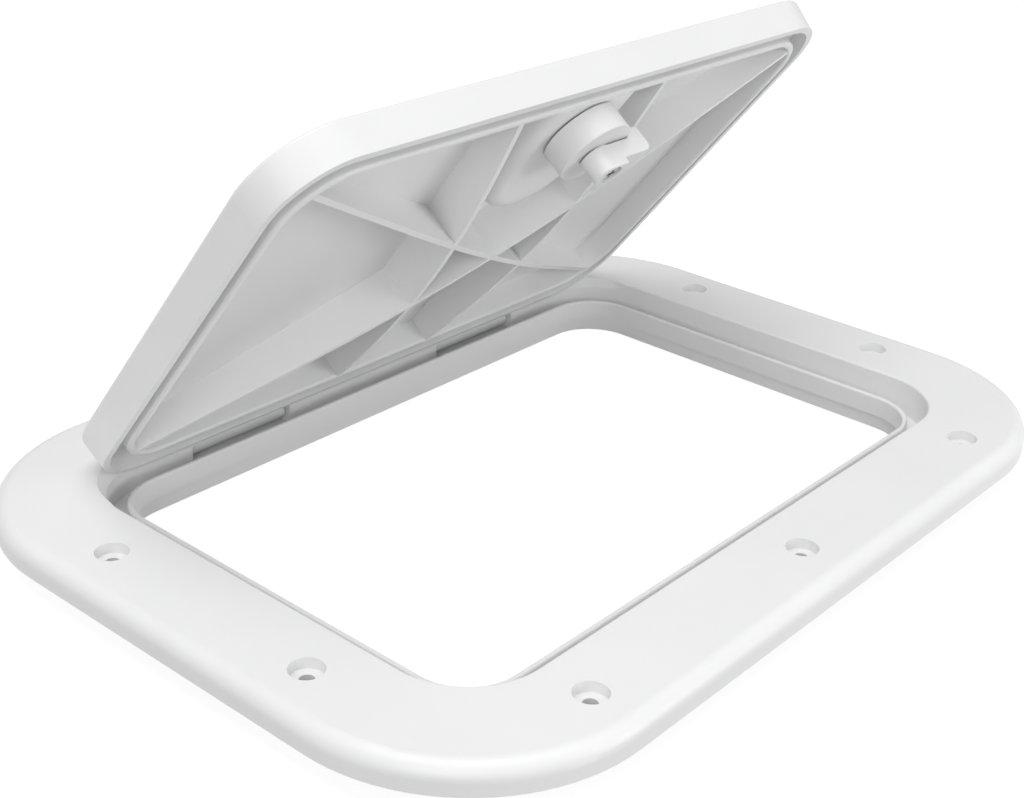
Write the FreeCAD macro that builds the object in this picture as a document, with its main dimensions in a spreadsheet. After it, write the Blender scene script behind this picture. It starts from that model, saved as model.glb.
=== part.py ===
import FreeCAD, Part
import math
import os
import Sketcher

# Deck inspection hatch, open. Millimetres, +Z up, +X along the hinge, +Y towards the hinge.
# The origin is the centre of the opening, on the plane of the deck that the flange lies on.
# The lid and the latch are drawn closed and then turned open about the hinge pins.

# Driving dimensions: name, value
SIZES = (
    # Flange
    ("flange_long", 377.5),
    ("flange_wide", 277.0),
    ("flange_thick", 10.5),
    ("flange_corner", 70.0),
    ("flange_round", 5.5),
    ("flange_wall", 3.0),
    # Screw holes, through bosses under the flange
    ("screw_bore", 5.2),
    ("screw_sink", 12.0),
    ("screw_sink_deep", 4.0),
    ("screw_boss", 17.0),
    ("side_screw_x", 169.0),
    ("side_screw_y", 48.5),
    ("edge_screw_x", 118.0),
    ("edge_screw_y", 118.7),
    # Recess that the closed lid lies in, with a gutter and a sealing lip round the opening
    ("recess_long", 298.8),
    ("recess_wide", 198.0),
    ("recess_corner", 30.0),
    ("recess_deep", 14.3),
    ("recess_round", 1.0),
    ("recess_wall", 3.0),
    ("gutter_wide", 7.4),
    ("gutter_floor", 2.5),
    ("lip_thick", 2.2),
    ("lip_drop", 7.2),
    ("lip_round", 0.9),
    ("relief_wide", 5.2),
    ("relief_deep", 4.0),
    ("relief_inset", 0.5),
    # Neck through the deck, set back from the lip
    ("neck_step", 1.3),
    ("neck_step_drop", 15.7),
    ("neck_wall", 2.5),
    ("neck_drop", 22.0),
    # Hinge
    ("open_angle", 51.58),
    ("hinge_set_back", 6.2),
    ("hinge_drop", 9.7),
    ("hinge_x", 68.75),
    ("hinge_slot_long", 50.5),
    ("hinge_slot_back", 6.0),
    ("hinge_slot_play", 0.6),
    ("hinge_cheek", 4.0),
    ("hinge_pocket_wall", 2.5),
    ("barrel_wide", 7.4),
    ("barrel_end_gap", 0.6),
    ("arm_low", 0.9),
    ("pin_wide", 4.0),
    ("pin_seat", 0.02),
    ("pin_play", 0.08),
    ("pin_short", 0.3),
    # Lid
    ("lid_gap", 1.1),
    ("lid_back_gap", 3.8),
    ("lid_draft", 2.0),
    ("lid_rim_drop", 13.4),
    ("lid_round", 1.3),
    ("lid_skin", 3.0),
    ("skirt_wall", 3.1),
    ("skirt_back_wall", 2.0),
    ("ring_gap", 0.8),
    ("ring_back_gap", 3.7),
    ("ring_wall", 3.2),
    ("ring_drop", 14.0),
    ("ring_corner", 25.0),
    ("ring_round", 1.2),
    ("gasket_thick", 3.9),
    ("gasket_play", 0.1),
    # Ribs under the lid
    ("rib_thick", 2.4),
    ("rib_corner_inset", 9.0),
    ("rib_end_drop", 13.7),
    ("rib_mid_drop", 21.7),
    ("rib_bow", 1150.0),
    ("cross_rib_x", 33.0),
    ("cross_rib_slant", 4.8),
    ("cross_rib_mid_drop", 21.2),
    ("cross_rib_bow", 450.0),
    # Finger dish in the lid
    ("latch_y", 72.0),
    ("dish_half", 21.5),
    ("dish_reach", 24.5),
    ("dish_end", 14.1),
    ("dish_deep", 11.6),
    ("dish_floor", 3.0),
    ("dish_wall", 2.5),
    ("dish_bulge_round", 6.0),
    ("dish_floor_round", 1.5),
    # Latch, on one axis through the dish
    ("knob_wide", 26.8),
    ("knob_base", 3.0),
    ("knob_sunk", 0.4),
    ("knob_round", 0.8),
    ("grip_long", 25.0),
    ("grip_wide", 7.0),
    ("grip_corner", 2.8),
    ("stem_wide", 11.2),
    ("stem_square", 6.0),
    ("stem_end_gap", 1.0),
    ("stem_play", 0.08),
    ("square_play", 0.03),
    ("seal_thick", 0.6),
    ("seal_play", 0.1),
    ("knob_seal_wide", 23.0),
    ("hub_seal_wide", 25.0),
    ("seal_bore", 13.0),
    ("hub_wide", 30.0),
    ("hub_tall", 10.3),
    ("hub_round", 0.6),
    ("hub_notch_x", 13.8),
    ("hub_notch_tall", 4.2),
    ("hub_notch_play", 0.4),
    ("cam_gap", 0.7),
    ("cam_neck_wide", 9.4),
    ("cam_wide", 10.5),
    ("cam_thick", 6.7),
    ("cam_reach", 21.0),
    ("cam_tail", 7.5),
    ("cam_tail_round", 5.0),
    ("cam_end_round", 3.0),
    ("cam_round", 0.7),
    ("cam_hook_long", 6.2),
    ("cam_hook_gap", 0.3),
    ("cam_hook_round", 2.6),
    ("cam_boss_reach", 5.6),
    ("cam_boss_tall", 2.5),
    ("cam_sink_wide", 8.6),
    ("cam_sink_deep", 3.6),
    ("washer_wide", 8.2),
    ("washer_thick", 0.8),
    ("screw_head", 7.4),
    ("screw_head_tall", 2.2),
    ("screw_head_round", 0.8),
    ("screw_shank", 3.5),
    ("screw_shank_long", 12.0),
    ("screw_play", 0.05),
    ("screw_cross_wide", 1.0),
    ("screw_cross_long", 4.6),
    ("screw_cross_deep", 1.3),
)

# How near, in millimetres, a point has to be to a plane to count as on it
ON_PLANE = 1e-4

# How many points along an edge are tested
EDGE_POINTS = 5

# Radians in a right angle
RIGHT_ANGLE = math.pi / 2

# The two hinges: name, place along X
HINGES = (
    ("left", "-dims.hinge_x"),
    ("right", "dims.hinge_x"),
)

doc = FreeCAD.newDocument("inspection_hatch")
dims = doc.addObject("Spreadsheet::Sheet", "dims")
for row, (alias, value) in enumerate(SIZES, start=1):
    dims.set(f"A{row}", alias)
    dims.set(f"B{row}", str(value))
    dims.setAlias(f"B{row}", alias)
doc.recompute()


# Expressions worked out from the driving dimensions
def minus(whole, *parts):
    """An expression for whole less each of the parts."""
    return " - ".join([f"({whole})"] + [f"({part})" for part in parts])


def plus(*parts):
    """An expression for the sum of the parts."""
    return " + ".join(f"({part})" for part in parts)


def half(whole):
    """An expression for half of whole."""
    return f"({whole}) / 2"


def negative(size):
    """An expression for a size turned round."""
    return f"-({size})"


def value_of(expression):
    """The number that an expression comes to."""
    return float(dims.evalExpression(expression))


TOP = "dims.flange_thick"
ZERO = "0"

RECESS_X = "dims.recess_long / 2"
RECESS_Y = "dims.recess_wide / 2"
WELL_X = plus(RECESS_X, "dims.recess_wall")
WELL_Y = plus(RECESS_Y, "dims.recess_wall")
WELL_CORNER = plus("dims.recess_corner", "dims.recess_wall")
LIP_X = minus(RECESS_X, "dims.gutter_wide")
LIP_Y = minus(RECESS_Y, "dims.gutter_wide")
LIP_CORNER = minus("dims.recess_corner", "dims.gutter_wide")
OPENING_X = minus(LIP_X, "dims.lip_thick")
OPENING_Y = minus(LIP_Y, "dims.lip_thick")
OPENING_CORNER = minus(LIP_CORNER, "dims.lip_thick")
STEP_X = plus(OPENING_X, "dims.neck_step")
STEP_Y = plus(OPENING_Y, "dims.neck_step")
STEP_CORNER = plus(OPENING_CORNER, "dims.neck_step")
NECK_X = plus(STEP_X, "dims.neck_wall")
NECK_Y = plus(STEP_Y, "dims.neck_wall")
NECK_CORNER = plus(STEP_CORNER, "dims.neck_wall")

GUTTER_Z = minus(TOP, "dims.recess_deep")
WELL_Z = minus(GUTTER_Z, "dims.gutter_floor")
LIP_Z = minus(TOP, "dims.lip_drop")
STEP_Z = minus(TOP, "dims.neck_step_drop")
NECK_Z = minus(TOP, "dims.neck_drop")
SKIN_Z = minus(TOP, "dims.flange_wall")
FLANGE_ROOT_Z = minus(TOP, half("dims.flange_wall"))

HINGE_Y = plus(RECESS_Y, "dims.hinge_set_back")
HINGE_Z = minus(TOP, "dims.hinge_drop")
BARREL_R = "dims.barrel_wide / 2"
SLOT_BACK_Y = plus(HINGE_Y, "dims.hinge_slot_back")
SLOT_Z = minus(HINGE_Z, BARREL_R, "dims.hinge_slot_play")
POCKET_LONG = plus("dims.hinge_slot_long", "2 * dims.hinge_cheek")

LID_X = minus(RECESS_X, "dims.lid_gap")
LID_FRONT = minus(RECESS_Y, "dims.lid_gap")
LID_BACK = minus(RECESS_Y, "dims.lid_back_gap")
LID_CORNER = minus("dims.recess_corner", "dims.lid_gap")
RIM_X = minus(LID_X, "dims.lid_draft")
RIM_FRONT = minus(LID_FRONT, "dims.lid_draft")
RIM_CORNER = minus(LID_CORNER, "dims.lid_draft")
SKIRT_X = minus(RIM_X, "dims.skirt_wall")
SKIRT_FRONT = minus(RIM_FRONT, "dims.skirt_wall")
SKIRT_BACK = minus(LID_BACK, "dims.skirt_back_wall")
SKIRT_CORNER = minus(RIM_CORNER, "dims.skirt_wall")
RING_X = minus(OPENING_X, "dims.ring_gap")
RING_FRONT = minus(OPENING_Y, "dims.ring_gap")
RING_BACK = minus(OPENING_Y, "dims.ring_back_gap")
RING_INNER_X = minus(RING_X, "dims.ring_wall")
RING_INNER_Y = minus(half(plus(RING_BACK, RING_FRONT)), "dims.ring_wall")
RING_INNER_CORNER = minus("dims.ring_corner", "dims.ring_wall")
RING_MID_Y = half(minus(RING_BACK, RING_FRONT))

RIM_Z = minus(TOP, "dims.lid_rim_drop")
RING_Z = minus(TOP, "dims.ring_drop")
PANEL_Z = minus(TOP, "dims.lid_skin")
LID_ROOT_Z = minus(TOP, "dims.lid_skin / 2")

LATCH_Y = negative("dims.latch_y")
DISH_HEAD_Y = plus(LATCH_Y, "dims.dish_reach")
DISH_END_Y = minus(LATCH_Y, "dims.dish_end")
DISH_TOP_Z = minus(TOP, "dims.dish_deep")
DISH_UNDER_Z = minus(DISH_TOP_Z, "dims.dish_floor")
KNOB_TOP_Z = minus(TOP, "dims.knob_sunk")
KNOB_UNDER_Z = plus(DISH_TOP_Z, "dims.seal_thick", "dims.seal_play")
HUB_TOP_Z = minus(DISH_UNDER_Z, "dims.seal_thick", "dims.seal_play")
CAM_TOP_Z = minus(HUB_TOP_Z, "dims.hub_tall")
CAM_ARM_Z = minus(CAM_TOP_Z, "dims.cam_gap")
CAM_ARM_UNDER_Z = minus(CAM_ARM_Z, "dims.cam_thick")
CAM_UNDER_Z = minus(CAM_ARM_UNDER_Z, "dims.cam_boss_tall")
CAM_SEAT_Z = plus(CAM_UNDER_Z, "dims.cam_sink_deep")
STEM_END_Z = plus(CAM_SEAT_Z, "dims.stem_end_gap")
HOOK_Z = minus(NECK_Z, "dims.cam_hook_gap")


# Sketch outlines, each drawn about the middle of its own sketch
def rounded(half_x, half_y, corner):
    """A rectangle with four equal round corners."""
    def draw(sketch):
        x = value_of(half_x)
        y = value_of(half_y)
        radius = value_of(corner)
        inner_x = x - radius
        inner_y = y - radius
        up = FreeCAD.Vector(0, 0, 1)
        sides = (
            ((-inner_x, -y), (inner_x, -y)),
            ((x, -inner_y), (x, inner_y)),
            ((inner_x, y), (-inner_x, y)),
            ((-x, inner_y), (-x, -inner_y)),
        )
        middles = ((inner_x, -inner_y), (inner_x, inner_y), (-inner_x, inner_y), (-inner_x, -inner_y))
        lines = [sketch.addGeometry(Part.LineSegment(FreeCAD.Vector(*start), FreeCAD.Vector(*end)))
                 for start, end in sides]
        arcs = []
        for quarter, middle in enumerate(middles, start=-1):
            circle = Part.Circle(FreeCAD.Vector(*middle), up, radius)
            turn = quarter * RIGHT_ANGLE
            arcs.append(sketch.addGeometry(Part.ArcOfCircle(circle, turn, turn + RIGHT_ANGLE)))
        for line, arc, after in zip(lines, arcs, lines[1:] + lines[:1]):
            sketch.addConstraint(Sketcher.Constraint("Tangent", line, 2, arc, 1))
            sketch.addConstraint(Sketcher.Constraint("Tangent", arc, 2, after, 1))
        for level, upright in (lines[:2], lines[2:]):
            sketch.addConstraint(Sketcher.Constraint("Horizontal", level))
            sketch.addConstraint(Sketcher.Constraint("Vertical", upright))
        for arc in arcs[1:]:
            sketch.addConstraint(Sketcher.Constraint("Equal", arcs[0], arc))
        sketch.addConstraint(Sketcher.Constraint("Symmetric", arcs[0], 3, arcs[2], 3, -1, 1))
        drive(sketch, Sketcher.Constraint("Radius", arcs[0], radius), corner)
        drive(sketch, Sketcher.Constraint("DistanceX", arcs[3], 3, arcs[0], 3, 2 * inner_x),
              f"2 * ({minus(half_x, corner)})")
        drive(sketch, Sketcher.Constraint("DistanceY", arcs[0], 3, arcs[1], 3, 2 * inner_y),
              f"2 * ({minus(half_y, corner)})")
    return draw


def nested(*outlines):
    """Several outlines in one sketch, one inside the other."""
    def draw(sketch):
        for outline in outlines:
            outline(sketch)
    return draw


def rectangle(half_x, half_y):
    """A plain rectangle."""
    def draw(sketch):
        x = value_of(half_x)
        y = value_of(half_y)
        corners = ((-x, -y), (x, -y), (x, y), (-x, y))
        for place, start in enumerate(corners):
            end = corners[(place + 1) % 4]
            sketch.addGeometry(Part.LineSegment(FreeCAD.Vector(*start), FreeCAD.Vector(*end)))
        for side in range(4):
            sketch.addConstraint(Sketcher.Constraint("Coincident", side, 2, (side + 1) % 4, 1))
        for side in (0, 2):
            sketch.addConstraint(Sketcher.Constraint("Horizontal", side))
            sketch.addConstraint(Sketcher.Constraint("Vertical", side + 1))
        sketch.addConstraint(Sketcher.Constraint("Symmetric", 0, 1, 2, 1, -1, 1))
        drive(sketch, Sketcher.Constraint("DistanceX", 0, 1, 0, 2, 2 * x), f"2 * ({half_x})")
        drive(sketch, Sketcher.Constraint("DistanceY", 1, 1, 1, 2, 2 * y), f"2 * ({half_y})")
    return draw


def circle(wide):
    """A circle of a given diameter."""
    def draw(sketch):
        radius = value_of(wide) / 2
        sketch.addGeometry(Part.Circle(FreeCAD.Vector(), FreeCAD.Vector(0, 0, 1), radius))
        sketch.addConstraint(Sketcher.Constraint("Coincident", 0, 3, -1, 1))
        drive(sketch, Sketcher.Constraint("Radius", 0, radius), half(wide))
    return draw


def screw_circles(wide):
    """A circle at each of the flange's ten screw places."""
    places = [(x, y, "dims.side_screw_x", "dims.side_screw_y") for x in (-1, 1) for y in (-1, 1)]
    places += [(x, y, "dims.edge_screw_x", "dims.edge_screw_y") for x in (-1, 0, 1) for y in (-1, 1)]

    def draw(sketch):
        radius = value_of(wide) / 2
        for number, (sign_x, sign_y, away_x, away_y) in enumerate(places):
            x = value_of(away_x)
            y = value_of(away_y)
            middle = FreeCAD.Vector(sign_x * x, sign_y * y, 0)
            sketch.addGeometry(Part.Circle(middle, FreeCAD.Vector(0, 0, 1), radius))
            if number:
                sketch.addConstraint(Sketcher.Constraint("Equal", 0, number))
            else:
                drive(sketch, Sketcher.Constraint("Radius", 0, radius), half(wide))
            away = (number, 3)
            origin = (-1, 1)
            if sign_x:
                ends = origin + away if sign_x > 0 else away + origin
                drive(sketch, Sketcher.Constraint("DistanceX", *ends, x), away_x)
            else:
                sketch.addConstraint(Sketcher.Constraint("PointOnObject", number, 3, -2))
            ends = origin + away if sign_y > 0 else away + origin
            drive(sketch, Sketcher.Constraint("DistanceY", *ends, y), away_y)
    return draw


def bowed_rib(half_long, end_z, mid_z, bow, root_z):
    """The side view of a rib: straight at its root, with a bowed free edge that ends straight."""
    def draw(sketch):
        reach = value_of(half_long)
        end = value_of(end_z)
        mid = value_of(mid_z)
        radius = value_of(bow)
        root = value_of(root_z)
        middle = FreeCAD.Vector(0, mid + radius, 0)
        corner = FreeCAD.Vector(-reach, end, 0)
        away = corner.sub(middle)
        lean = away.getAngle(FreeCAD.Vector(0, -1, 0))
        spread = lean - math.acos(radius / away.Length)
        down = 3 * RIGHT_ANGLE
        bowed = Part.ArcOfCircle(Part.Circle(middle, FreeCAD.Vector(0, 0, 1), radius),
                                 down - spread, down + spread)
        points = (bowed.EndPoint, FreeCAD.Vector(reach, end, 0), FreeCAD.Vector(reach, root, 0),
                  FreeCAD.Vector(-reach, root, 0), corner)
        sketch.addGeometry(Part.LineSegment(corner, bowed.StartPoint))
        sketch.addGeometry(bowed)
        for start, finish in zip(points, points[1:]):
            sketch.addGeometry(Part.LineSegment(start, finish))
        sketch.addConstraint(Sketcher.Constraint("Tangent", 0, 2, 1, 1))
        sketch.addConstraint(Sketcher.Constraint("Tangent", 1, 2, 2, 1))
        for line in (2, 3, 4):
            sketch.addConstraint(Sketcher.Constraint("Coincident", line, 2, line + 1, 1))
        sketch.addConstraint(Sketcher.Constraint("Coincident", 5, 2, 0, 1))
        sketch.addConstraint(Sketcher.Constraint("Vertical", 3))
        sketch.addConstraint(Sketcher.Constraint("Vertical", 5))
        sketch.addConstraint(Sketcher.Constraint("Horizontal", 4))
        sketch.addConstraint(Sketcher.Constraint("PointOnObject", 1, 3, -2))
        sketch.addConstraint(Sketcher.Constraint("Symmetric", 0, 1, 2, 2, -2))
        drive(sketch, Sketcher.Constraint("Radius", 1, radius), bow)
        drive(sketch, Sketcher.Constraint("DistanceX", 0, 1, 2, 2, 2 * reach), f"2 * ({half_long})")
        drive(sketch, Sketcher.Constraint("DistanceY", -1, 1, 1, 3, mid + radius), plus(mid_z, bow))
        drive(sketch, Sketcher.Constraint("DistanceY", 2, 2, 1, 3, mid + radius - end),
              minus(plus(mid_z, bow), end_z))
        drive(sketch, Sketcher.Constraint("DistanceY", 3, 1, 3, 2, root - end), minus(root_z, end_z))
    return draw


def bulge(half_wide, low_z, high_z, corner, whole):
    """A side view with rounded lower corners, either whole or only the half right of its middle."""
    def draw(sketch):
        wide = value_of(half_wide)
        low = value_of(low_z)
        high = value_of(high_z)
        radius = value_of(corner)
        inner = wide - radius
        up = FreeCAD.Vector(0, 0, 1)
        left = -inner if whole else 0.0
        points = [(wide, high), (wide, low + radius), (inner, low), (left, low)]
        sketch.addGeometry(Part.LineSegment(FreeCAD.Vector(*points[0]), FreeCAD.Vector(*points[1])))
        right_circle = Part.Circle(FreeCAD.Vector(inner, low + radius), up, radius)
        sketch.addGeometry(Part.ArcOfCircle(right_circle, -RIGHT_ANGLE, 0))
        sketch.addGeometry(Part.LineSegment(FreeCAD.Vector(*points[2]), FreeCAD.Vector(*points[3])))
        far = -wide if whole else 0.0
        start = FreeCAD.Vector(far, low + radius if whole else low)
        sketch.addGeometry(Part.LineSegment(start, FreeCAD.Vector(far, high)))
        sketch.addGeometry(Part.LineSegment(FreeCAD.Vector(far, high), FreeCAD.Vector(*points[0])))
        sketch.addConstraint(Sketcher.Constraint("Tangent", 0, 2, 1, 2))
        sketch.addConstraint(Sketcher.Constraint("Tangent", 1, 1, 2, 1))
        sketch.addConstraint(Sketcher.Constraint("Coincident", 3, 2, 4, 1))
        sketch.addConstraint(Sketcher.Constraint("Coincident", 4, 2, 0, 1))
        for upright in (0, 3):
            sketch.addConstraint(Sketcher.Constraint("Vertical", upright))
        if whole:
            left_circle = Part.Circle(FreeCAD.Vector(-inner, low + radius), up, radius)
            sketch.addGeometry(Part.ArcOfCircle(left_circle, 2 * RIGHT_ANGLE, 3 * RIGHT_ANGLE))
            sketch.addConstraint(Sketcher.Constraint("Tangent", 2, 2, 5, 2))
            sketch.addConstraint(Sketcher.Constraint("Tangent", 5, 1, 3, 1))
            sketch.addConstraint(Sketcher.Constraint("Equal", 1, 5))
            sketch.addConstraint(Sketcher.Constraint("Symmetric", 4, 1, 4, 2, -2))
            sketch.addConstraint(Sketcher.Constraint("Horizontal", 2))
            drive(sketch, Sketcher.Constraint("DistanceX", 4, 1, 4, 2, 2 * wide), f"2 * ({half_wide})")
        else:
            sketch.addConstraint(Sketcher.Constraint("Coincident", 2, 2, 3, 1))
            sketch.addConstraint(Sketcher.Constraint("PointOnObject", 3, 1, -2))
            sketch.addConstraint(Sketcher.Constraint("Horizontal", 2))
            sketch.addConstraint(Sketcher.Constraint("Horizontal", 4))
            drive(sketch, Sketcher.Constraint("DistanceX", 4, 1, 4, 2, wide), half_wide)
        drive(sketch, Sketcher.Constraint("Radius", 1, radius), corner)
        drive(sketch, Sketcher.Constraint("DistanceY", -1, 1, 0, 1, high), high_z)
        drive(sketch, Sketcher.Constraint("DistanceY", 2, 1, 0, 1, high - low), minus(high_z, low_z))
    return draw


def drive(sketch, constraint, expression):
    """Add a sketch dimension and bind it to the sheet."""
    number = sketch.addConstraint(constraint)
    sketch.setExpression(f"Constraints[{number}]", expression)


# Features
def new_body(label):
    """An empty body for one piece."""
    body = doc.addObject("PartDesign::Body", label)
    body.Label = label
    return body


def new_sketch(body, name, plane, outline, place):
    """A sketch of an outline on one of the body's own planes, moved by place."""
    sketch = body.newObject("Sketcher::SketchObject", f"{body.Label}_{name}_sketch")
    support = [feature for feature in body.Origin.OriginFeatures if feature.Role == plane]
    sketch.AttachmentSupport = [(support[0], "")]
    sketch.MapMode = "FlatFace"
    outline(sketch)
    for axis, expression in zip("xyz", place):
        sketch.setExpression(f"AttachmentOffset.Base.{axis}", expression)
    return sketch


def pad(body, name, outline, low, high, x=ZERO, y=ZERO):
    """Add an upright block with the outline, from low to high."""
    feature = body.newObject("PartDesign::Pad", f"{body.Label}_{name}")
    feature.Profile = new_sketch(body, name, "XY_Plane", outline, (x, y, low))
    feature.setExpression("Length", minus(high, low))
    doc.recompute()


def pocket(body, name, outline, low, high, x=ZERO, y=ZERO):
    """Cut an upright hole with the outline, from high down to low."""
    before = body.Shape.Volume
    feature = body.newObject("PartDesign::Pocket", f"{body.Label}_{name}")
    feature.Profile = new_sketch(body, name, "XY_Plane", outline, (x, y, high))
    feature.setExpression("Length", minus(high, low))
    doc.recompute()
    if body.Shape.Volume >= before:
        raise ValueError(f"{feature.Label} cuts nothing")


def block(body, kind, name, low, high):
    """Add or cut a box between two corners, each three expressions."""
    feature = body.newObject(f"PartDesign::{kind}Box", f"{body.Label}_{name}")
    for size, start, end in zip(("Length", "Width", "Height"), low, high):
        feature.setExpression(size, minus(end, start))
    for axis, start in zip("xyz", low):
        feature.setExpression(f"Placement.Base.{axis}", start)
    doc.recompute()


def rod_along_x(body, kind, name, wide, low_x, high_x):
    """Add or cut a round rod along the hinge axis."""
    feature = body.newObject(f"PartDesign::{kind}Cylinder", f"{body.Label}_{name}")
    feature.Placement.Rotation = FreeCAD.Rotation(FreeCAD.Vector(0, 1, 0), 90)
    feature.setExpression("Radius", half(wide))
    feature.setExpression("Height", minus(high_x, low_x))
    feature.setExpression("Placement.Base.x", low_x)
    feature.setExpression("Placement.Base.y", HINGE_Y)
    feature.setExpression("Placement.Base.z", HINGE_Z)
    doc.recompute()


def loft(body, kind, name, upper, lower):
    """Add or cut a straight-sided loft down from one outline to another, each with its place."""
    high = new_sketch(body, f"{name}_high", "XY_Plane", *upper)
    low = new_sketch(body, f"{name}_low", "XY_Plane", *lower)
    feature = body.newObject(f"PartDesign::{kind}Loft", f"{body.Label}_{name}")
    feature.Profile = high
    feature.Sections = [(low, [""])]
    feature.Ruled = True
    doc.recompute()


def fillet(body, name, radius, wanted):
    """Round each edge of the body whose points all pass the test."""
    base = body.Tip
    doc.recompute()
    names = []
    for number, edge in enumerate(base.Shape.Edges, start=1):
        if not edge.Degenerated and all(wanted(point) for point in edge.discretize(EDGE_POINTS)):
            names.append(f"Edge{number}")
    if not names:
        raise ValueError(f"{body.Label} has no edge for {name}")
    feature = body.newObject("PartDesign::Fillet", f"{body.Label}_{name}")
    feature.Base = (base, names)
    feature.setExpression("Radius", radius)
    doc.recompute()


def at_height(height):
    """A test for points that lie at a height."""
    level = value_of(height)
    return lambda point: abs(point.z - level) < ON_PLANE


def at_x(place):
    """A test for points that lie at a distance along X."""
    level = value_of(place)
    return lambda point: abs(point.x - level) < ON_PLANE


def at_y(place):
    """A test for points that lie at a distance along Y."""
    level = value_of(place)
    return lambda point: abs(point.y - level) < ON_PLANE


def both(first, second):
    """A test for points that pass two tests."""
    return lambda point: first(point) and second(point)


def either(first, second):
    """A test for points that pass one of two tests."""
    return lambda point: first(point) or second(point)


def inside(half_x, half_y, height):
    """A test for points at a height that lie within a rectangle."""
    x = value_of(half_x) + ON_PLANE
    y = value_of(half_y) + ON_PLANE
    level = at_height(height)
    return lambda point: level(point) and abs(point.x) < x and abs(point.y) < y


def open_about_hinge(body):
    """Turn a piece that was drawn closed up about the hinge pins."""
    turn = FreeCAD.Rotation(FreeCAD.Vector(-1, 0, 0), value_of("dims.open_angle"))
    body.Placement = FreeCAD.Placement(FreeCAD.Vector(), turn)
    body.setExpression("Placement.Rotation.Angle", "dims.open_angle")
    cosine = "cos(dims.open_angle)"
    sine = "sin(dims.open_angle)"
    turned_y = f"({HINGE_Y}) * {cosine} + ({HINGE_Z}) * {sine}"
    turned_z = f"({HINGE_Z}) * {cosine} - ({HINGE_Y}) * {sine}"
    body.setExpression("Placement.Base.y", minus(HINGE_Y, turned_y))
    body.setExpression("Placement.Base.z", minus(HINGE_Z, turned_z))


# Pieces
def make_frame():
    """The flange, the recess with its gutter and lip, the neck and the hinge pockets, one moulding."""
    body = new_body("frame")
    flange = rounded("dims.flange_long / 2", "dims.flange_wide / 2", "dims.flange_corner")
    under = rounded(minus("dims.flange_long / 2", "dims.flange_wall"),
                    minus("dims.flange_wide / 2", "dims.flange_wall"),
                    minus("dims.flange_corner", "dims.flange_wall"))
    recess = rounded(RECESS_X, RECESS_Y, "dims.recess_corner")
    pad(body, "flange", flange, ZERO, TOP)
    fillet(body, "flange_round", "dims.flange_round", at_height(TOP))
    pocket(body, "hollow", under, ZERO, SKIN_Z)
    pad(body, "well", rounded(WELL_X, WELL_Y, WELL_CORNER), WELL_Z, TOP)
    pad(body, "bosses", screw_circles("dims.screw_boss"), ZERO, FLANGE_ROOT_Z)
    for name, middle in HINGES:
        block(body, "Additive", f"{name}_hinge_pocket",
              (minus(middle, half(POCKET_LONG)), RECESS_Y, minus(SLOT_Z, "dims.hinge_pocket_wall")),
              (plus(middle, half(POCKET_LONG)), plus(SLOT_BACK_Y, "dims.hinge_pocket_wall"), FLANGE_ROOT_Z))
    pad(body, "neck", rounded(NECK_X, NECK_Y, NECK_CORNER), NECK_Z, GUTTER_Z)
    pocket(body, "recess", recess, GUTTER_Z, TOP)
    fillet(body, "recess_round", "dims.recess_round", inside(RECESS_X, RECESS_Y, TOP))
    pad(body, "lip", rounded(LIP_X, LIP_Y, LIP_CORNER), WELL_Z, LIP_Z)
    pocket(body, "opening", rounded(OPENING_X, OPENING_Y, OPENING_CORNER), NECK_Z, LIP_Z)
    fillet(body, "lip_round", "dims.lip_round", at_height(LIP_Z))
    pocket(body, "neck_step", rounded(STEP_X, STEP_Y, STEP_CORNER), NECK_Z, STEP_Z)
    relief = rounded(minus(RECESS_X, "dims.relief_inset"), minus(RECESS_Y, "dims.relief_inset"),
                     minus("dims.recess_corner", "dims.relief_inset"))
    loft(body, "Subtractive", "relief",
         (relief, (ZERO, plus("dims.relief_inset", "dims.relief_wide"), TOP)),
         (relief, (ZERO, "dims.relief_inset", minus(TOP, "dims.relief_deep"))))
    for name, middle in HINGES:
        low_x = minus(middle, "dims.hinge_slot_long / 2")
        high_x = plus(middle, "dims.hinge_slot_long / 2")
        block(body, "Subtractive", f"{name}_hinge_slot",
              (low_x, minus(RECESS_Y, "dims.relief_inset"), SLOT_Z), (high_x, SLOT_BACK_Y, TOP))
        rod_along_x(body, "Subtractive", f"{name}_pin_hole", plus("dims.pin_wide", "2 * dims.pin_seat"),
                    minus(middle, half(POCKET_LONG)), plus(middle, half(POCKET_LONG)))
    pocket(body, "screw_holes", screw_circles("dims.screw_bore"), ZERO, TOP)
    pocket(body, "screw_sinks", screw_circles("dims.screw_sink"), minus(TOP, "dims.screw_sink_deep"), TOP)
    return body


def make_hinge_pin(name, middle):
    """A plain steel pin through one hinge pocket, held in its cheeks."""
    body = new_body(f"hinge_pin_{name}")
    reach = minus(half(POCKET_LONG), "dims.pin_short")
    rod_along_x(body, "Additive", "rod", "dims.pin_wide", minus(middle, reach), plus(middle, reach))
    return body


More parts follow.
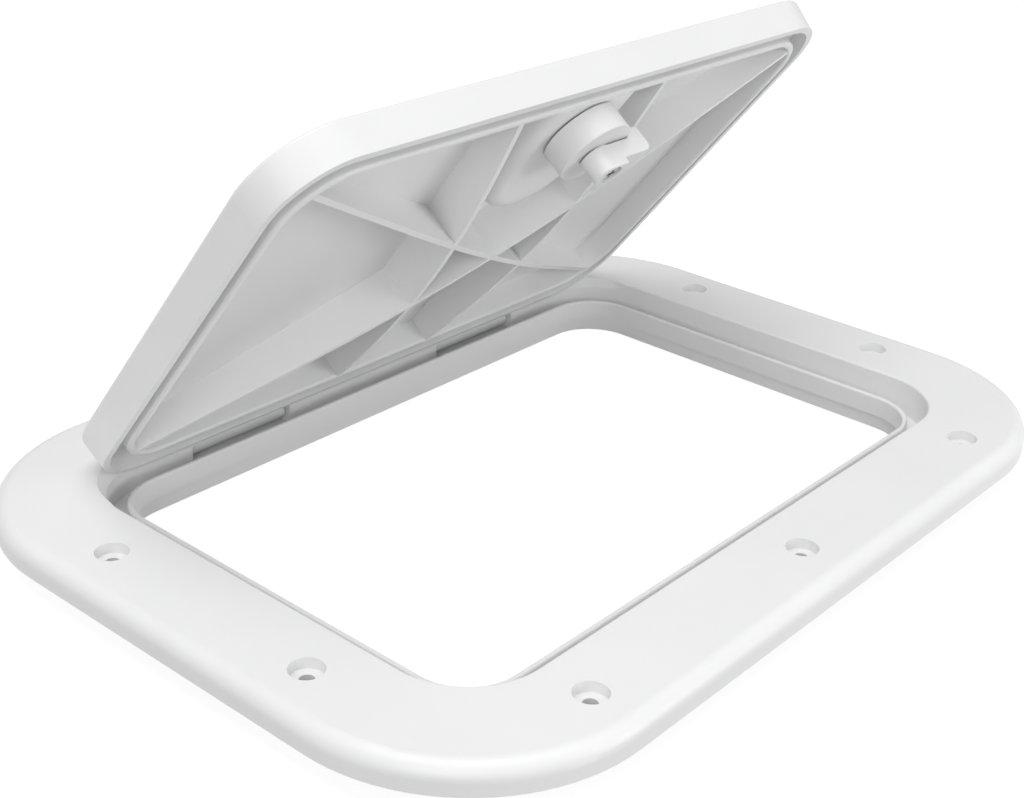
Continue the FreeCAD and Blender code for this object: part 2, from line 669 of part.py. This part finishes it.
def make_lid():
    """The lid with its skirt, ring, ribs, dish and hinge arms, one moulding."""
    body = new_body("lid")
    top_mid = half(minus(LID_BACK, LID_FRONT))
    rim_mid = half(minus(LID_BACK, RIM_FRONT))
    skirt_mid = half(minus(SKIRT_BACK, SKIRT_FRONT))
    loft(body, "Additive", "shell",
         (rounded(LID_X, half(plus(LID_BACK, LID_FRONT)), LID_CORNER), (ZERO, top_mid, TOP)),
         (rounded(RIM_X, half(plus(LID_BACK, RIM_FRONT)), RIM_CORNER), (ZERO, rim_mid, RIM_Z)))
    fillet(body, "edge_round", "dims.lid_round", at_height(TOP))
    pocket(body, "hollow", rounded(SKIRT_X, half(plus(SKIRT_BACK, SKIRT_FRONT)), SKIRT_CORNER),
           RIM_Z, PANEL_Z, y=skirt_mid)
    ring = nested(rounded(RING_X, half(plus(RING_BACK, RING_FRONT)), "dims.ring_corner"),
                  rounded(RING_INNER_X, RING_INNER_Y, RING_INNER_CORNER))
    pad(body, "ring", ring, RING_Z, LID_ROOT_Z, y=RING_MID_Y)
    fillet(body, "ring_round", "dims.ring_round", at_height(RING_Z))
    add_ribs(body)
    add_dish(body)
    for name, middle in HINGES:
        reach = minus("dims.hinge_slot_long / 2", "dims.barrel_end_gap")
        low_x = minus(middle, reach)
        high_x = plus(middle, reach)
        block(body, "Additive", f"{name}_hinge_arm",
              (low_x, minus(LID_BACK, "dims.skirt_back_wall / 2"), minus(HINGE_Z, "dims.arm_low")),
              (high_x, HINGE_Y, plus(HINGE_Z, BARREL_R)))
        rod_along_x(body, "Additive", f"{name}_barrel", "dims.barrel_wide", low_x, high_x)
        rod_along_x(body, "Subtractive", f"{name}_bore", plus("dims.pin_wide", "2 * dims.pin_play"),
                    low_x, high_x)
    open_about_hinge(body)
    return body


def add_ribs(body):
    """Two ribs from corner to corner of the ring and two across it."""
    corner_x = minus(RING_X, "dims.rib_corner_inset")
    corner_y = minus(half(plus(RING_BACK, RING_FRONT)), "dims.rib_corner_inset")
    slant = f"atan2({corner_y}; {corner_x})"
    end_z = minus(TOP, "dims.rib_end_drop")
    diagonal = bowed_rib(f"hypot({corner_x}; {corner_y})", end_z, minus(TOP, "dims.rib_mid_drop"),
                         "dims.rib_bow", LID_ROOT_Z)
    across = bowed_rib(minus(half(plus(RING_BACK, RING_FRONT)), "dims.ring_wall / 2"), end_z,
                       minus(TOP, "dims.cross_rib_mid_drop"), "dims.cross_rib_bow", LID_ROOT_Z)
    ribs = (
        ("rising_rib", diagonal, ZERO, slant),
        ("falling_rib", diagonal, ZERO, negative(slant)),
        ("left_rib", across, "-dims.cross_rib_x", "90 - dims.cross_rib_slant"),
        ("right_rib", across, "dims.cross_rib_x", "90 + dims.cross_rib_slant"),
    )
    for name, outline, x, turn in ribs:
        feature = body.newObject("PartDesign::Pad", f"lid_{name}")
        sketch = new_sketch(body, name, "XZ_Plane", outline, (x, ZERO, negative(RING_MID_Y)))
        sketch.AttachmentOffset.Rotation = FreeCAD.Rotation(FreeCAD.Vector(0, 1, 0), value_of(turn))
        sketch.setExpression("AttachmentOffset.Rotation.Angle", turn)
        feature.Profile = sketch
        feature.SideType = "Symmetric"
        feature.setExpression("Length", "dims.rib_thick")
        doc.recompute()


def add_dish(body):
    """The finger dish, which bulges under the lid, with the hole for the latch's stem."""
    bulge_half = plus("dims.dish_half", "dims.dish_wall")
    place = (ZERO, ZERO, negative(DISH_HEAD_Y))
    section = bulge(bulge_half, DISH_UNDER_Z, LID_ROOT_Z, "dims.dish_bulge_round", True)
    straight = body.newObject("PartDesign::Pad", "lid_dish_bulge")
    straight.Profile = new_sketch(body, "dish_bulge", "XZ_Plane", section, place)
    straight.setExpression("Length", plus(DISH_HEAD_Y, minus(RING_FRONT, "dims.ring_wall / 2")))
    doc.recompute()
    section = bulge(bulge_half, DISH_UNDER_Z, LID_ROOT_Z, "dims.dish_bulge_round", False)
    head = body.newObject("PartDesign::Revolution", "lid_dish_head")
    head.Profile = new_sketch(body, "dish_head", "XZ_Plane", section, place)
    head.ReferenceAxis = (head.Profile[0], ["V_Axis"])
    doc.recompute()
    block(body, "Subtractive", "dish_room",
          ("-dims.dish_half", DISH_END_Y, DISH_TOP_Z), ("dims.dish_half", DISH_HEAD_Y, TOP))
    pocket(body, "dish_head_room", circle("2 * dims.dish_half"), DISH_TOP_Z, TOP, y=DISH_HEAD_Y)
    fillet(body, "dish_floor_round", "dims.dish_floor_round", at_height(DISH_TOP_Z))
    pocket(body, "stem_hole", circle(plus("dims.stem_wide", "2 * dims.stem_play")),
           DISH_UNDER_Z, DISH_TOP_Z, y=LATCH_Y)


def make_lid_gasket():
    """The soft gasket in the channel between the skirt and the ring, which meets the lip."""
    body = new_body("lid_gasket")
    play = "dims.gasket_play"
    low = minus(PANEL_Z, "dims.gasket_thick")
    pad(body, "band", rounded(minus(SKIRT_X, play), minus(half(plus(SKIRT_BACK, SKIRT_FRONT)), play),
                              minus(SKIRT_CORNER, play)),
        low, PANEL_Z, y=half(minus(SKIRT_BACK, SKIRT_FRONT)))
    pocket(body, "middle", rounded(plus(RING_X, play), plus(half(plus(RING_BACK, RING_FRONT)), play),
                                   plus("dims.ring_corner", play)), low, PANEL_Z, y=RING_MID_Y)
    open_about_hinge(body)
    return body


def make_seal(label, wide, low):
    """A flat rubber seal ring round the latch's stem."""
    body = new_body(label)
    high = plus(low, "dims.seal_thick")
    pad(body, "disc", circle(wide), low, high, y=LATCH_Y)
    pocket(body, "bore", circle("dims.seal_bore"), low, high, y=LATCH_Y)
    open_about_hinge(body)
    return body


def make_latch_knob():
    """The knob in the dish, with a grip bar on top and its stem below."""
    body = new_body("latch_knob")
    base_z = plus(KNOB_UNDER_Z, "dims.knob_base")
    pad(body, "base", circle("dims.knob_wide"), KNOB_UNDER_Z, base_z, y=LATCH_Y)
    fillet(body, "base_round", "dims.knob_round", at_height(base_z))
    pad(body, "grip", rounded("dims.grip_long / 2", "dims.grip_wide / 2", "dims.grip_corner"),
        minus(base_z, "dims.knob_round"), KNOB_TOP_Z, y=LATCH_Y)
    fillet(body, "grip_round", "dims.knob_round", at_height(KNOB_TOP_Z))
    pad(body, "stem", circle("dims.stem_wide"), HUB_TOP_Z, KNOB_UNDER_Z, y=LATCH_Y)
    square = rectangle("dims.stem_square / 2", "dims.stem_square / 2")
    pad(body, "square", square, STEM_END_Z, HUB_TOP_Z, y=LATCH_Y)
    pocket(body, "screw_hole", circle(plus("dims.screw_shank", "2 * dims.screw_play")),
           STEM_END_Z, plus(STEM_END_Z, "dims.screw_shank_long"), y=LATCH_Y)
    open_about_hinge(body)
    return body


def square_hole():
    """The outline of the square hole that fits on the latch's stem."""
    side = plus("dims.stem_square / 2", "dims.square_play")
    return rectangle(side, side)


def make_latch_hub():
    """The round hub under the dish, which turns with the knob and keeps the cam down."""
    body = new_body("latch_hub")
    pad(body, "disc", circle("dims.hub_wide"), CAM_TOP_Z, HUB_TOP_Z, y=LATCH_Y)
    fillet(body, "lower_round", "dims.hub_round", at_height(CAM_TOP_Z))
    notch_half = plus("dims.cam_wide / 2", "dims.hub_notch_play")
    block(body, "Subtractive", "notch",
          ("dims.hub_notch_x", minus(LATCH_Y, notch_half), CAM_TOP_Z),
          (half("dims.hub_wide"), plus(LATCH_Y, notch_half), plus(CAM_TOP_Z, "dims.hub_notch_tall")))
    pocket(body, "square_hole", square_hole(), CAM_TOP_Z, HUB_TOP_Z, y=LATCH_Y)
    open_about_hinge(body)
    return body


def make_latch_cam():
    """The cam, whose arm ends in a hook that goes under the neck's rim when it is turned in."""
    body = new_body("latch_cam")
    half_wide = "dims.cam_wide / 2"
    low_y = minus(LATCH_Y, half_wide)
    high_y = plus(LATCH_Y, half_wide)
    hook_x = minus("dims.cam_reach", "dims.cam_hook_long")
    block(body, "Additive", "arm",
          ("-dims.cam_tail", low_y, CAM_ARM_UNDER_Z), ("dims.cam_reach", high_y, CAM_ARM_Z))
    block(body, "Additive", "hook",
          (hook_x, low_y, CAM_ARM_UNDER_Z), ("dims.cam_reach", high_y, HOOK_Z))
    block(body, "Additive", "boss",
          ("-dims.cam_tail", low_y, CAM_UNDER_Z), ("dims.cam_boss_reach", high_y, CAM_ARM_UNDER_Z))
    fillet(body, "tail_round", "dims.cam_tail_round",
           both(at_x("-dims.cam_tail"), either(at_y(low_y), at_y(high_y))))
    fillet(body, "hook_root", "dims.cam_hook_round", both(at_x(hook_x), at_height(CAM_ARM_Z)))
    fillet(body, "end_round", "dims.cam_end_round", both(at_x("dims.cam_reach"), at_height(CAM_ARM_UNDER_Z)))
    fillet(body, "boss_round", "dims.cam_round", at_height(CAM_UNDER_Z))
    fillet(body, "hook_round", "dims.cam_round", at_height(HOOK_Z))
    pad(body, "neck", circle("dims.cam_neck_wide"), CAM_ARM_Z, CAM_TOP_Z, y=LATCH_Y)
    pocket(body, "square_hole", square_hole(), CAM_SEAT_Z, CAM_TOP_Z, y=LATCH_Y)
    pocket(body, "screw_sink", circle("dims.cam_sink_wide"), CAM_UNDER_Z, CAM_SEAT_Z, y=LATCH_Y)
    open_about_hinge(body)
    return body


def make_cam_washer():
    """The washer between the cam and its screw's head."""
    body = new_body("cam_washer")
    low = minus(CAM_SEAT_Z, "dims.washer_thick")
    bore = plus("dims.screw_shank", "2 * dims.screw_play")
    pad(body, "disc", circle("dims.washer_wide"), low, CAM_SEAT_Z, y=LATCH_Y)
    pocket(body, "bore", circle(bore), low, CAM_SEAT_Z, y=LATCH_Y)
    open_about_hinge(body)
    return body


def make_cam_screw():
    """The cross-head screw that holds the cam and the hub on the knob's stem."""
    body = new_body("cam_screw")
    head_top = minus(CAM_SEAT_Z, "dims.washer_thick")
    head_low = minus(head_top, "dims.screw_head_tall")
    shank_top = minus(plus(STEM_END_Z, "dims.screw_shank_long"), "dims.stem_end_gap")
    slot_long = "dims.screw_cross_long / 2"
    slot_half = "dims.screw_cross_wide / 2"
    slot_top = plus(head_low, "dims.screw_cross_deep")
    pad(body, "head", circle("dims.screw_head"), head_low, head_top, y=LATCH_Y)
    fillet(body, "head_round", "dims.screw_head_round", at_height(head_low))
    pad(body, "shank", circle("dims.screw_shank"), head_top, shank_top, y=LATCH_Y)
    pocket(body, "long_slot", rectangle(slot_long, slot_half), head_low, slot_top, y=LATCH_Y)
    pocket(body, "cross_slot", rectangle(slot_half, slot_long), head_low, slot_top, y=LATCH_Y)
    open_about_hinge(body)
    return body


pieces = [
    make_frame(),
    *[make_hinge_pin(name, middle) for name, middle in HINGES],
    make_lid(),
    make_lid_gasket(),
    make_seal("knob_seal", "dims.knob_seal_wide", DISH_TOP_Z),
    make_seal("hub_seal", "dims.hub_seal_wide", minus(DISH_UNDER_Z, "dims.seal_thick")),
    make_latch_knob(),
    make_latch_hub(),
    make_latch_cam(),
    make_cam_washer(),
    make_cam_screw(),
]
doc.recompute()

for obj in doc.Objects:
    if "Invalid" in obj.State or "Error" in obj.State:
        raise ValueError(f"{obj.Label} failed: {obj.State}")

os.makedirs("parts", exist_ok=True)
for piece in pieces:
    if piece.Shape.isNull() or not piece.Shape.isValid() or len(piece.Shape.Solids) != 1:
        raise ValueError(f"{piece.Label} is not one valid solid")
    print(piece.Label, round(piece.Shape.Volume), piece.Shape.BoundBox)
    piece.Shape.exportStep(f"parts/{piece.Label}.step")
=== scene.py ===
import math

import bpy
from mathutils import Matrix, Vector


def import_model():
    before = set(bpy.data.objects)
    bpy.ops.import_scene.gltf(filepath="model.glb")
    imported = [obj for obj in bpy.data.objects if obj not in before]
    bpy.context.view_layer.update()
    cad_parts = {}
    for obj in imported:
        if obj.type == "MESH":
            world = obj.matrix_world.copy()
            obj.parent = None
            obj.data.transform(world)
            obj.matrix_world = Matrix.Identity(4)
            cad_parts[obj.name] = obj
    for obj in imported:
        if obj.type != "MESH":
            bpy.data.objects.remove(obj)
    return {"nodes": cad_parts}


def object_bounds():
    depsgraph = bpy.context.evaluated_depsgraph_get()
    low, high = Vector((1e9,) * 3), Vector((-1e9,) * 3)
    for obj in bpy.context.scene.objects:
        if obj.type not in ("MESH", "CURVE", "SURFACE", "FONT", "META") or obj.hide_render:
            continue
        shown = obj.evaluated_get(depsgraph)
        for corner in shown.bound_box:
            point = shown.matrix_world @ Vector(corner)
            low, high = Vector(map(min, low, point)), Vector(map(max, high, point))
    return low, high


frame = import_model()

# Deck inspection hatch, open. Metres, +Z up, in the frame of the CAD model, whose pieces are all kept.
cad_box = [list(corner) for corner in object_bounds()]
nodes = frame["nodes"]
scene = bpy.context.scene

# The camera stands where the photograph was taken from, found from the flange's measured corners.
# RIGHT_SHARE is how far the picture's right side points upwards, from the camera's slight roll.
IMAGE_WIDE = 1024.0
FOCAL_PIXELS = 1659.3
SENSOR = 36.0
RIGHT_SHARE = 0.0357
CAMERA_PLACE = Vector((-0.44899, -0.36284, 0.30843))
LOOK = Vector((0.68593, 0.58009, -0.43931))
NEAREST = 0.01

# Moulded plastic: name, pale colour, dark colour, roughness, depth of the grain, depth of the ripples,
# shift of the pattern, CAD pieces
MOULDINGS = (
    ("white_plastic", (0.88, 0.88, 0.88), (0.85, 0.85, 0.855), 0.36, 0.00002, 0.0003,
     (0.3, 0.1, 0.2), ("frame",)),
    ("lid_plastic", (0.88, 0.88, 0.88), (0.85, 0.85, 0.855), 0.38, 0.00002, 0.0003,
     (0.7, 0.4, 0.9), ("lid",)),
    ("latch_plastic", (0.85, 0.85, 0.85), (0.825, 0.825, 0.825), 0.34, 0.00001, 0.0001,
     (0.2, 0.8, 0.5), ("latch_knob", "latch_hub", "latch_cam")),
)

# Rubber: name, pale colour, dark colour, shift of the pattern, CAD pieces
RUBBERS = (
    ("gasket_rubber", (0.87, 0.87, 0.865), (0.83, 0.83, 0.825), (0.1, 0.5, 0.3), ("lid_gasket",)),
    # The seal rings are dark rubber. At the latch hub their black also stands in for the shade in the thin
    # gap line, so there it is partly painted shade.
    ("seal_rubber", (0.035, 0.035, 0.036), (0.02, 0.02, 0.02), (0.6, 0.2, 0.4), ("knob_seal", "hub_seal")),
)

# Stainless steel: name, stretch of the lines along each axis, shift of the pattern, CAD pieces
STEELS = (
    ("pin_steel", (0.02, 1.0, 1.0), (0.4, 0.3, 0.1), ("hinge_pin_left", "hinge_pin_right")),
    ("screw_steel", (1.0, 1.0, 1.0), (0.9, 0.3, 0.6), ("cam_screw", "cam_washer")),
)
STEEL_DARK = (0.50, 0.51, 0.52)
STEEL_PALE = (0.66, 0.66, 0.65)
PLASTIC_IOR = 1.49

# How far the roughness of the plastic's specks goes below and above its middle value
SMOOTHER = 0.05
ROUGHER = 0.07

# A stretch that leaves a pattern as it is
EVEN = (1.0, 1.0, 1.0)

# The values that most of a noise pattern lies between
NOISE_LOW = 0.3
NOISE_HIGH = 0.7

# Floor. Its glow is seen by the camera and in reflections, and lights nothing else.
FLOOR_REACH = 30.0
FLOOR_GAP = 0.0002
FLOOR_DARK = (0.34, 0.34, 0.34)
FLOOR_PALE = (0.36, 0.36, 0.36)
FLOOR_ROUGHNESS = 0.9
FLOOR_GLOW = 0.85

# Sky: the strength at which it lights the part, and the strength at which the camera sees it as white
SKY_LIGHT = 0.43
SKY_SEEN = 1.0

# Lamps: name, place, point that it looks at, width, power in watts
LAMPS = (
    ("key", (-0.3, -0.05, 1.7), (0.0, 0.0, 0.03), 1.4, 15.5),
    ("left", (-1.15, -0.65, 0.6), (0.0, 0.0, 0.06), 0.8, 5.0),
    ("front", (0.38, -0.90, 0.15), (0.05, 0.02, 0.08), 0.5, 3.1),
)


def camera():
    """The photograph's camera, with its slight roll."""
    data = bpy.data.cameras.new("camera")
    data.sensor_width = SENSOR
    data.lens = FOCAL_PIXELS / IMAGE_WIDE * SENSOR
    data.clip_start = NEAREST
    obj = bpy.data.objects.new("camera", data)
    scene.collection.objects.link(obj)
    forward = LOOK.normalized()
    level = forward.cross(Vector((0, 0, 1))).normalized()
    upright = level.cross(forward)
    roll = math.asin(RIGHT_SHARE / upright.z)
    right = level * math.cos(roll) + upright * math.sin(roll)
    up = right.cross(forward)
    turn = Matrix((right, up, -forward)).transposed()
    obj.matrix_world = Matrix.Translation(CAMERA_PLACE) @ turn.to_4x4()
    scene.camera = obj


# Materials
def new_material(name):
    """An empty node material with its shader, and a function that adds a node."""
    material = bpy.data.materials.new(name)
    material.use_nodes = True
    tree = material.node_tree
    shader = tree.nodes["Principled BSDF"]

    def add(kind, **settings):
        node = tree.nodes.new(kind)
        for key, value in settings.items():
            setattr(node, key, value)
        return node
    return material, tree, shader, add


def shifted(tree, add, coordinates, shift, stretch):
    """The piece's own coordinates, shifted and stretched so that each material has its own pattern."""
    mapping = add("ShaderNodeMapping")
    mapping.inputs["Location"].default_value = shift
    mapping.inputs["Scale"].default_value = stretch
    tree.links.new(coordinates, mapping.inputs["Vector"])
    return mapping.outputs["Vector"]


def noise(tree, add, place, scale, detail, rough=0.5):
    """A noise pattern of a given number of features to the metre."""
    node = add("ShaderNodeTexNoise")
    node.inputs["Scale"].default_value = scale
    node.inputs["Detail"].default_value = detail
    node.inputs["Roughness"].default_value = rough
    tree.links.new(place, node.inputs["Vector"])
    return node.outputs["Fac"]


def spread(tree, add, source, low, high):
    """A noise value stretched from its usual middle range to low and high."""
    node = add("ShaderNodeMapRange")
    node.inputs["From Min"].default_value = NOISE_LOW
    node.inputs["From Max"].default_value = NOISE_HIGH
    node.inputs["To Min"].default_value = low
    node.inputs["To Max"].default_value = high
    tree.links.new(source, node.inputs["Value"])
    return node.outputs["Result"]


def tint(tree, add, factor, first, second):
    """A colour between two others."""
    node = add("ShaderNodeMix", data_type="RGBA")
    node.inputs["A"].default_value = (*first, 1.0)
    node.inputs["B"].default_value = (*second, 1.0)
    tree.links.new(factor, node.inputs["Factor"])
    return node.outputs["Result"]


def bump(tree, add, height, strength, depth, normal=None):
    """A bump of a given depth in metres."""
    node = add("ShaderNodeBump")
    node.inputs["Strength"].default_value = strength
    node.inputs["Distance"].default_value = depth
    tree.links.new(height, node.inputs["Height"])
    if normal is not None:
        tree.links.new(normal, node.inputs["Normal"])
    return node.outputs["Normal"]


def moulded(name, pale, dark, gloss, grain, ripple, shift):
    """Moulded plastic: faint flow clouds, a fine grain from the mould and slow ripples."""
    material, tree, shader, add = new_material(name)
    coordinates = add("ShaderNodeTexCoord").outputs["Object"]
    place = shifted(tree, add, coordinates, shift, EVEN)
    clouds = noise(tree, add, place, scale=14.0, detail=4.0)
    specks = noise(tree, add, place, scale=900.0, detail=3.0, rough=0.6)
    waves = noise(tree, add, place, scale=45.0, detail=2.0)
    colour = tint(tree, add, spread(tree, add, clouds, low=0.0, high=1.0), dark, pale)
    tree.links.new(colour, shader.inputs["Base Color"])
    roughness = spread(tree, add, specks, low=gloss - SMOOTHER, high=gloss + ROUGHER)
    tree.links.new(roughness, shader.inputs["Roughness"])
    slow = bump(tree, add, waves, strength=0.35, depth=ripple)
    fine = bump(tree, add, specks, strength=0.45, depth=grain, normal=slow)
    tree.links.new(fine, shader.inputs["Normal"])
    shader.inputs["IOR"].default_value = PLASTIC_IOR
    return material


def rubber(name, pale, dark, shift):
    """Soft rubber with a fine matt skin."""
    material, tree, shader, add = new_material(name)
    coordinates = add("ShaderNodeTexCoord").outputs["Object"]
    place = shifted(tree, add, coordinates, shift, EVEN)
    pores = noise(tree, add, place, scale=1600.0, detail=4.0, rough=0.65)
    clouds = noise(tree, add, place, scale=60.0, detail=3.0)
    colour = tint(tree, add, spread(tree, add, clouds, low=0.0, high=1.0), dark, pale)
    tree.links.new(colour, shader.inputs["Base Color"])
    tree.links.new(spread(tree, add, pores, low=0.62, high=0.85), shader.inputs["Roughness"])
    tree.links.new(bump(tree, add, pores, strength=0.6, depth=0.0002), shader.inputs["Normal"])
    return material


def steel(name, stretch, shift):
    """Stainless steel with faint blooms and fine drawing lines."""
    material, tree, shader, add = new_material(name)
    coordinates = add("ShaderNodeTexCoord").outputs["Object"]
    place = shifted(tree, add, coordinates, shift, stretch)
    lines = noise(tree, add, place, scale=2600.0, detail=4.0, rough=0.7)
    blooms = noise(tree, add, coordinates, scale=220.0, detail=3.0)
    colour = tint(tree, add, spread(tree, add, blooms, low=0.0, high=1.0), STEEL_DARK, STEEL_PALE)
    tree.links.new(colour, shader.inputs["Base Color"])
    tree.links.new(spread(tree, add, lines, low=0.22, high=0.42), shader.inputs["Roughness"])
    tree.links.new(bump(tree, add, lines, strength=0.25, depth=0.00005), shader.inputs["Normal"])
    shader.inputs["Metallic"].default_value = 1.0
    return material


def dress(pieces, material):
    """Give CAD pieces their material."""
    for piece in pieces:
        data = nodes[piece].data
        data.materials.clear()
        data.materials.append(material)


# Stage and light
def floor():
    """A plain floor under the neck. It looks white except where the part shades it, and its own colour
    is greyer, so that it throws no more light up at the part than the photograph shows."""
    mesh = bpy.data.meshes.new("floor")
    level = cad_box[0][2] - FLOOR_GAP
    mesh.from_pydata([(-FLOOR_REACH, -FLOOR_REACH, level), (FLOOR_REACH, -FLOOR_REACH, level),
                      (FLOOR_REACH, FLOOR_REACH, level), (-FLOOR_REACH, FLOOR_REACH, level)],
                     [], [(0, 1, 2, 3)])
    obj = bpy.data.objects.new("floor", mesh)
    scene.collection.objects.link(obj)
    material, tree, shader, add = new_material("floor")
    output = tree.nodes["Material Output"]
    coordinates = add("ShaderNodeTexCoord").outputs["Object"]
    grain = noise(tree, add, coordinates, scale=30.0, detail=3.0)
    tree.links.new(tint(tree, add, grain, FLOOR_DARK, FLOOR_PALE), shader.inputs["Base Color"])
    shader.inputs["Roughness"].default_value = FLOOR_ROUGHNESS
    glow = add("ShaderNodeEmission")
    glow.inputs["Strength"].default_value = FLOOR_GLOW
    path = add("ShaderNodeLightPath")
    seen = add("ShaderNodeMath", operation="MAXIMUM")
    tree.links.new(path.outputs["Is Camera Ray"], seen.inputs[0])
    tree.links.new(path.outputs["Is Glossy Ray"], seen.inputs[1])
    black = add("ShaderNodeEmission")
    black.inputs["Strength"].default_value = 0.0
    choice = add("ShaderNodeMixShader")
    tree.links.new(seen.outputs[0], choice.inputs["Fac"])
    tree.links.new(black.outputs[0], choice.inputs[1])
    tree.links.new(glow.outputs[0], choice.inputs[2])
    both = add("ShaderNodeAddShader")
    tree.links.new(shader.outputs[0], both.inputs[0])
    tree.links.new(choice.outputs[0], both.inputs[1])
    tree.links.new(both.outputs[0], output.inputs["Surface"])
    mesh.materials.append(material)


def world():
    """An even studio white all round, brighter to the camera than it lights the part."""
    sky = bpy.data.worlds.new("world")
    sky.use_nodes = True
    scene.world = sky
    tree = sky.node_tree
    tree.nodes.clear()
    light = tree.nodes.new("ShaderNodeBackground")
    light.inputs["Strength"].default_value = SKY_LIGHT
    seen = tree.nodes.new("ShaderNodeBackground")
    seen.inputs["Strength"].default_value = SKY_SEEN
    for background in (light, seen):
        background.inputs["Color"].default_value = (1.0, 1.0, 1.0, 1.0)
    path = tree.nodes.new("ShaderNodeLightPath")
    choice = tree.nodes.new("ShaderNodeMixShader")
    output = tree.nodes.new("ShaderNodeOutputWorld")
    tree.links.new(path.outputs["Is Camera Ray"], choice.inputs["Fac"])
    tree.links.new(light.outputs[0], choice.inputs[1])
    tree.links.new(seen.outputs[0], choice.inputs[2])
    tree.links.new(choice.outputs[0], output.inputs["Surface"])


def lamp(name, place, aim, wide, power):
    """A soft square lamp that looks at a point."""
    data = bpy.data.lights.new(name, "AREA")
    data.shape = "SQUARE"
    data.size = wide
    data.energy = power
    obj = bpy.data.objects.new(name, data)
    scene.collection.objects.link(obj)
    place = Vector(place)
    obj.location = place
    obj.rotation_euler = (Vector(aim) - place).to_track_quat("-Z", "Y").to_euler()


for *settings, pieces in MOULDINGS:
    dress(pieces, moulded(*settings))
for *settings, pieces in RUBBERS:
    dress(pieces, rubber(*settings))
for *settings, pieces in STEELS:
    dress(pieces, steel(*settings))
camera()
floor()
world()
for settings in LAMPS:
    lamp(*settings)

scene.view_settings.view_transform = "Standard"
